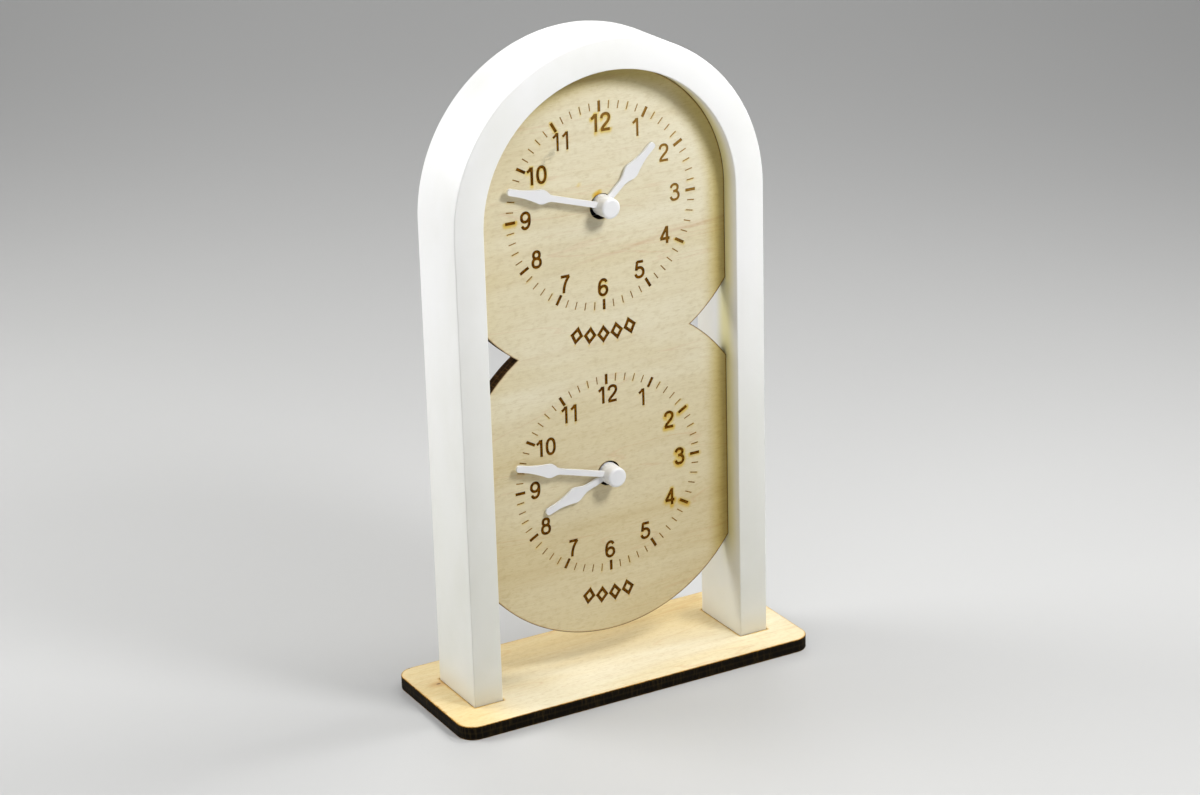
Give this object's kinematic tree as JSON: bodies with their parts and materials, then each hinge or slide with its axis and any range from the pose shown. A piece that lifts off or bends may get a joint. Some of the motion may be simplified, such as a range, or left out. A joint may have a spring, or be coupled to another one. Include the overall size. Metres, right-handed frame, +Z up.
{
  "type": "world time clock",
  "caption": "Table clock with two dials one above the other on a plywood panel, in a white arched frame on a plywood base, to show the time in two places.",
  "frame": {"origin": "middle of the underside of the base", "axes": "+Z up, +X to the right as seen from the front, -Y the way the dials face"},
  "size_m": [0.18, 0.07, 0.2984],
  "materials": {
    "base_ply": "pale plywood with a burnt edge",
    "dial_ply": "pale plywood with burnt marks",
    "white_paint": "satin white paint on wood",
    "white_plastic": "satin white",
    "black_plastic": "fine matt grain",
    "grey_plastic": "matt",
    "gear_plastic": "matt",
    "brass": "turned",
    "foam_tape": "closed cell foam",
    "magnet": "sintered",
    "soft_iron": "stamped",
    "copper_wire": "enamelled wire",
    "circuit_laminate": "solder mask",
    "nickel_plate": "plated",
    "battery_wrap": "plain wrap, no words"
  },
  "bodies": {
    "stand": {"base_plate": "base_ply", "arch_frame": "white_paint", "dial_panel": "dial_ply", "upper_fixing_pad": "foam_tape", "upper_movement_case": "black_plastic", "upper_movement_cover": "black_plastic", "upper_middle_plate": "grey_plastic", "upper_shaft_bush": "brass", "upper_stator": "soft_iron", "upper_coil": "copper_wire", "upper_circuit_board": "circuit_laminate", "upper_quartz_crystal": "nickel_plate", "upper_battery": "battery_wrap", "upper_positive_contact": "nickel_plate", "upper_negative_contact": "nickel_plate", "lower_fixing_pad": "foam_tape", "lower_movement_case": "black_plastic", "lower_movement_cover": "black_plastic", "lower_middle_plate": "grey_plastic", "lower_shaft_bush": "brass", "lower_stator": "soft_iron", "lower_coil": "copper_wire", "lower_circuit_board": "circuit_laminate", "lower_quartz_crystal": "nickel_plate", "lower_battery": "battery_wrap", "lower_positive_contact": "nickel_plate", "lower_negative_contact": "nickel_plate"},
    "upper_minute": {"upper_cannon_pinion": "brass", "upper_minute_hand": "white_plastic", "upper_hub_cap": "white_plastic"},
    "upper_hour": {"upper_hour_wheel": "gear_plastic", "upper_hour_hand": "white_plastic"},
    "upper_setting": {"upper_minute_wheel": "gear_plastic", "upper_setting_knob": "black_plastic"},
    "upper_second": {"upper_second_wheel": "gear_plastic"},
    "upper_rotor": {"upper_rotor": "magnet"},
    "upper_intermediate": {"upper_intermediate_wheel": "gear_plastic"},
    "upper_third": {"upper_third_wheel": "gear_plastic"},
    "upper_centre": {"upper_centre_wheel": "gear_plastic"},
    "lower_minute": {"lower_cannon_pinion": "brass", "lower_minute_hand": "white_plastic", "lower_hub_cap": "white_plastic"},
    "lower_hour": {"lower_hour_wheel": "gear_plastic", "lower_hour_hand": "white_plastic"},
    "lower_setting": {"lower_minute_wheel": "gear_plastic", "lower_setting_knob": "black_plastic"},
    "lower_second": {"lower_second_wheel": "gear_plastic"},
    "lower_rotor": {"lower_rotor": "magnet"},
    "lower_intermediate": {"lower_intermediate_wheel": "gear_plastic"},
    "lower_third": {"lower_third_wheel": "gear_plastic"},
    "lower_centre": {"lower_centre_wheel": "gear_plastic"}
  },
  "joints": [
    {"name": "upper_minute_turn", "type": "hinge", "parent": "stand", "child": "upper_minute", "pos_m": [0.0003, -0.00045, 0.22295], "axis": [0, 1, 0], "continuous": true},
    {"name": "upper_hour_turn", "type": "hinge", "parent": "stand", "child": "upper_hour", "pos_m": [0.0003, -0.00045, 0.22295], "axis": [0, 1, 0], "continuous": true},
    {"name": "upper_setting_turn", "type": "hinge", "parent": "stand", "child": "upper_setting", "pos_m": [0.00899, -0.00045, 0.22528], "axis": [0, 1, 0], "continuous": true},
    {"name": "upper_second_turn", "type": "hinge", "parent": "stand", "child": "upper_second", "pos_m": [0.0003, -0.00045, 0.22295], "axis": [0, 1, 0], "continuous": true},
    {"name": "upper_rotor_turn", "type": "hinge", "parent": "stand", "child": "upper_rotor", "pos_m": [0.00496, -0.00045, 0.23805], "axis": [0, 1, 0], "continuous": true},
    {"name": "upper_intermediate_turn", "type": "hinge", "parent": "stand", "child": "upper_intermediate", "pos_m": [-0.00017, -0.00045, 0.23194], "axis": [0, 1, 0], "continuous": true},
    {"name": "upper_third_turn", "type": "hinge", "parent": "stand", "child": "upper_third", "pos_m": [-0.00847, -0.00045, 0.2245], "axis": [0, 1, 0], "continuous": true},
    {"name": "upper_centre_turn", "type": "hinge", "parent": "stand", "child": "upper_centre", "pos_m": [0.0003, -0.00045, 0.22295], "axis": [0, 1, 0], "continuous": true},
    {"name": "lower_minute_turn", "type": "hinge", "parent": "stand", "child": "lower_minute", "pos_m": [0, -0.00045, 0.09845], "axis": [0, 1, 0], "continuous": true},
    {"name": "lower_hour_turn", "type": "hinge", "parent": "stand", "child": "lower_hour", "pos_m": [0, -0.00045, 0.09845], "axis": [0, 1, 0], "continuous": true},
    {"name": "lower_setting_turn", "type": "hinge", "parent": "stand", "child": "lower_setting", "pos_m": [0.00869, -0.00045, 0.10078], "axis": [0, 1, 0], "continuous": true},
    {"name": "lower_second_turn", "type": "hinge", "parent": "stand", "child": "lower_second", "pos_m": [0, -0.00045, 0.09845], "axis": [0, 1, 0], "continuous": true},
    {"name": "lower_rotor_turn", "type": "hinge", "parent": "stand", "child": "lower_rotor", "pos_m": [0.00466, -0.00045, 0.11355], "axis": [0, 1, 0], "continuous": true},
    {"name": "lower_intermediate_turn", "type": "hinge", "parent": "stand", "child": "lower_intermediate", "pos_m": [-0.00047, -0.00045, 0.10744], "axis": [0, 1, 0], "continuous": true},
    {"name": "lower_third_turn", "type": "hinge", "parent": "stand", "child": "lower_third", "pos_m": [-0.00877, -0.00045, 0.1], "axis": [0, 1, 0], "continuous": true},
    {"name": "lower_centre_turn", "type": "hinge", "parent": "stand", "child": "lower_centre", "pos_m": [0, -0.00045, 0.09845], "axis": [0, 1, 0], "continuous": true}
  ],
  "couplings": [
    {"joint": "upper_hour_turn", "follows": "upper_minute_turn", "ratio": 0.083333},
    {"joint": "upper_setting_turn", "follows": "upper_minute_turn", "ratio": -0.33333},
    {"joint": "upper_intermediate_turn", "follows": "upper_second_turn", "ratio": -5},
    {"joint": "upper_rotor_turn", "follows": "upper_second_turn", "ratio": 30},
    {"joint": "upper_third_turn", "follows": "upper_second_turn", "ratio": -0.13333},
    {"joint": "upper_centre_turn", "follows": "upper_second_turn", "ratio": 0.016667},
    {"joint": "lower_hour_turn", "follows": "lower_minute_turn", "ratio": 0.083333},
    {"joint": "lower_setting_turn", "follows": "lower_minute_turn", "ratio": -0.33333},
    {"joint": "lower_intermediate_turn", "follows": "lower_second_turn", "ratio": -5},
    {"joint": "lower_rotor_turn", "follows": "lower_second_turn", "ratio": 30},
    {"joint": "lower_third_turn", "follows": "lower_second_turn", "ratio": -0.13333},
    {"joint": "lower_centre_turn", "follows": "lower_second_turn", "ratio": 0.016667}
  ]
}
